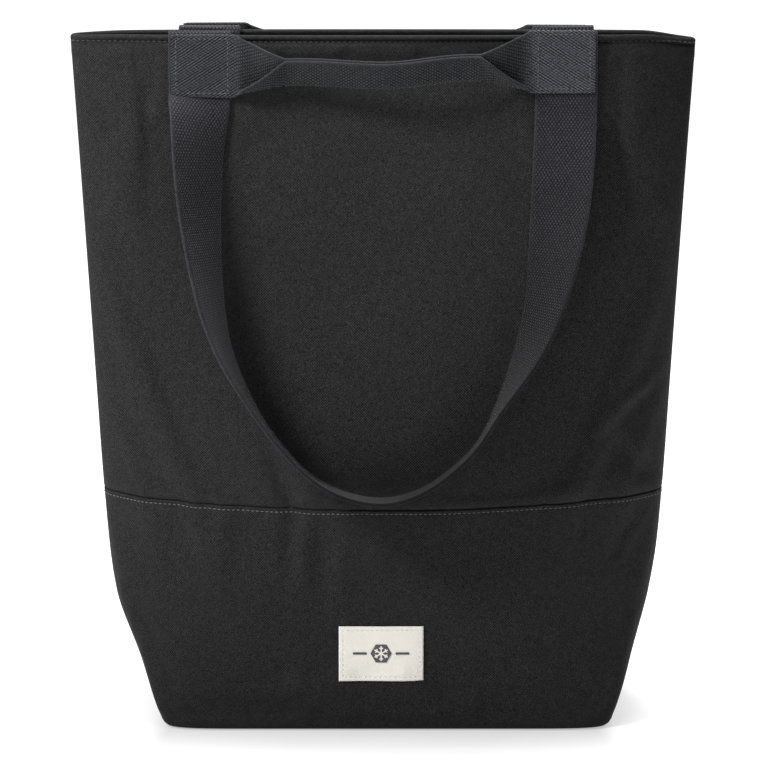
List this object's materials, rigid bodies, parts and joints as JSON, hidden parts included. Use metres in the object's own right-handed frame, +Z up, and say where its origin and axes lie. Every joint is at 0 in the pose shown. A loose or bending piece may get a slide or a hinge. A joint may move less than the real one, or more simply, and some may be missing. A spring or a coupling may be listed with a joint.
{
  "type": "insulated cooler bag",
  "caption": "Soft insulated tote with a foam-lined body, zipped mouth, long webbing shoulder straps and short folded grab handles.",
  "frame": {"origin": "centre of the base on the ground", "axes": "+Z up, +X to the right seen from the front, the front with the label faces -Y"},
  "size_m": [0.383, 0.185, 0.4323],
  "materials": {
    "outer_fabric": "woven, matt",
    "hem_fabric": "woven, matt",
    "foam": "closed-cell, matt",
    "lining": "wipe-clean film, satin",
    "board": "matt",
    "tape": "knitted, matt",
    "coil": "satin",
    "webbing": "ribbed weave, matt",
    "thread": "twisted, matt",
    "label_cloth": "woven, matt",
    "emblem": "printed, matt",
    "zip_metal": "satin"
  },
  "bodies": {
    "bag": {"base_board": "board", "foam_back": "foam", "foam_base": "foam", "foam_front": "foam", "handle_patch_back_left": "webbing", "handle_patch_back_right": "webbing", "handle_patch_front_left": "webbing", "handle_patch_front_right": "webbing", "label": "label_cloth", "label_emblem": "emblem", "lining_back": "lining", "lining_base": "lining", "lining_front": "lining", "outer_back_lower": "outer_fabric", "outer_back_upper": "outer_fabric", "outer_base": "outer_fabric", "outer_front_lower": "outer_fabric", "outer_front_upper": "outer_fabric", "patch_stitch_back_left": "thread", "patch_stitch_back_right": "thread", "patch_stitch_front_left": "thread", "patch_stitch_front_right": "thread", "rim_hem_back": "hem_fabric", "rim_hem_front": "hem_fabric", "rim_topstitch_back": "thread", "rim_topstitch_front": "thread", "seam_topstitch_back": "thread", "seam_topstitch_front": "thread", "side_binding_left": "tape", "side_binding_right": "tape", "strap_anchor_back_left": "webbing", "strap_anchor_back_right": "webbing", "strap_anchor_front_left": "webbing", "strap_anchor_front_right": "webbing", "zip_end_left": "tape", "zip_end_right": "tape", "zip_facing_back": "tape", "zip_facing_front": "tape", "zip_stop_left": "coil", "zip_stop_right": "coil"},
    "front_strap": {"strap_front": "webbing"},
    "back_strap": {"strap_back": "webbing"},
    "front_handle": {"grip_front": "webbing"},
    "back_handle": {"grip_back": "webbing"},
    "zip_flap_front": {"zip_tape_front": "tape", "zip_coil_front": "coil"},
    "zip_flap_back": {"zip_tape_back": "tape", "zip_coil_back": "coil"},
    "zip_slider": {"zip_slider": "zip_metal"},
    "zip_puller": {"zip_puller": "zip_metal"}
  },
  "joints": [
    {"name": "front_strap_swing", "type": "hinge", "parent": "bag", "child": "front_strap", "pos_m": [0, -0.0275, 0.3915], "axis": [-1, 0, 0], "range_deg": [0, 165]},
    {"name": "back_strap_swing", "type": "hinge", "parent": "bag", "child": "back_strap", "pos_m": [0, 0.0275, 0.3915], "axis": [1, 0, 0], "range_deg": [0, 165]},
    {"name": "front_handle_lift", "type": "hinge", "parent": "bag", "child": "front_handle", "pos_m": [0, -0.027, 0.4105], "axis": [-1, 0, 0], "range_deg": [0, 70]},
    {"name": "back_handle_lift", "type": "hinge", "parent": "bag", "child": "back_handle", "pos_m": [0, 0.027, 0.4105], "axis": [1, 0, 0], "range_deg": [0, 70]},
    {"name": "zip_flap_front_open", "type": "hinge", "parent": "bag", "child": "zip_flap_front", "pos_m": [0, -0.0104, 0.416], "axis": [1, 0, 0], "range_deg": [0, 80]},
    {"name": "zip_flap_back_open", "type": "hinge", "parent": "bag", "child": "zip_flap_back", "pos_m": [0, 0.0104, 0.416], "axis": [-1, 0, 0], "range_deg": [0, 80]},
    {"name": "zip_slide", "type": "slide", "parent": "bag", "child": "zip_slider", "axis": [-1, 0, 0], "range_m": [0, 0.29]},
    {"name": "puller_swing", "type": "hinge", "parent": "zip_slider", "child": "zip_puller", "pos_m": [0.145, 0, 0.4197], "axis": [0, -1, 0], "range_deg": [0, 180]}
  ]
}
